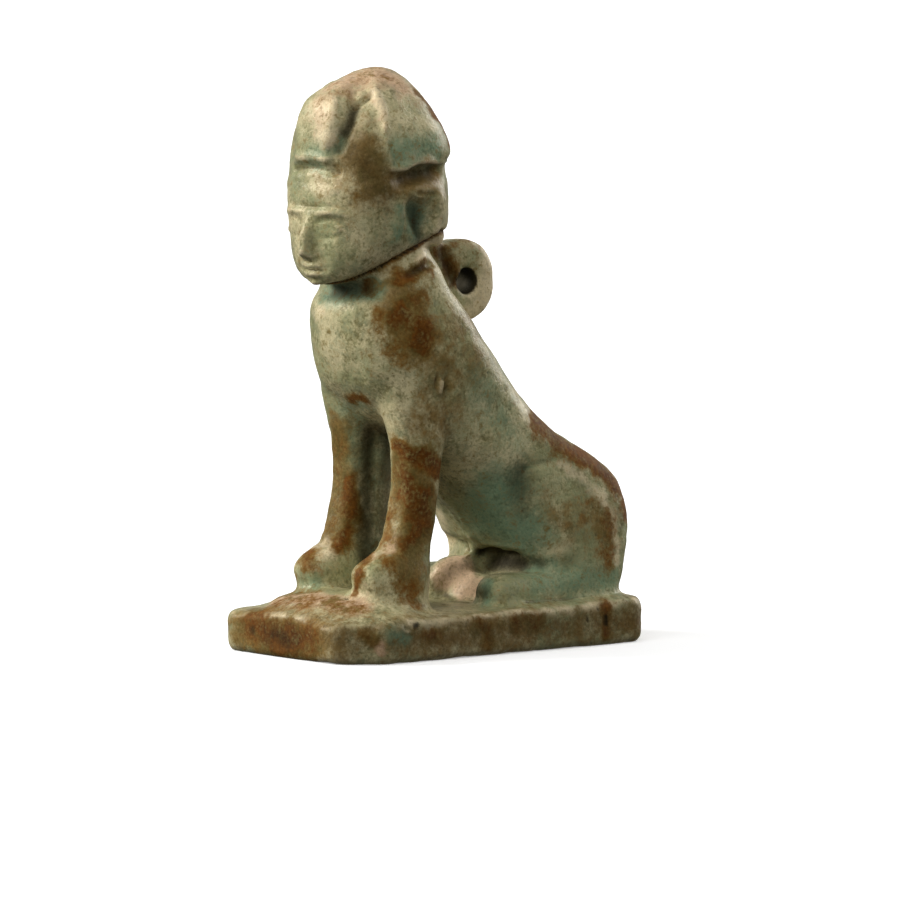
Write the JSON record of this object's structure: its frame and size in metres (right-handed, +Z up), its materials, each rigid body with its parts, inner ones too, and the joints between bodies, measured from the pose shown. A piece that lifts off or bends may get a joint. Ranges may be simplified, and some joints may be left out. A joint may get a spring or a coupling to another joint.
{
  "type": "sphinx amulet",
  "caption": "Small glazed faience amulet of a seated sphinx with a tall rounded crown, on its own oblong plinth, with a pierced loop behind the neck.",
  "frame": {"origin": "centre of the plinth's underside", "axes": "+Z up; the figure faces -Y and its left side is +X"},
  "size_m": [0.0164, 0.0292, 0.0449],
  "materials": {
    "faience": "worn blue-green glaze with brown stains, half gloss"
  },
  "bodies": {
    "root": {"seated_sphinx": "faience"}
  },
  "joints": []
}
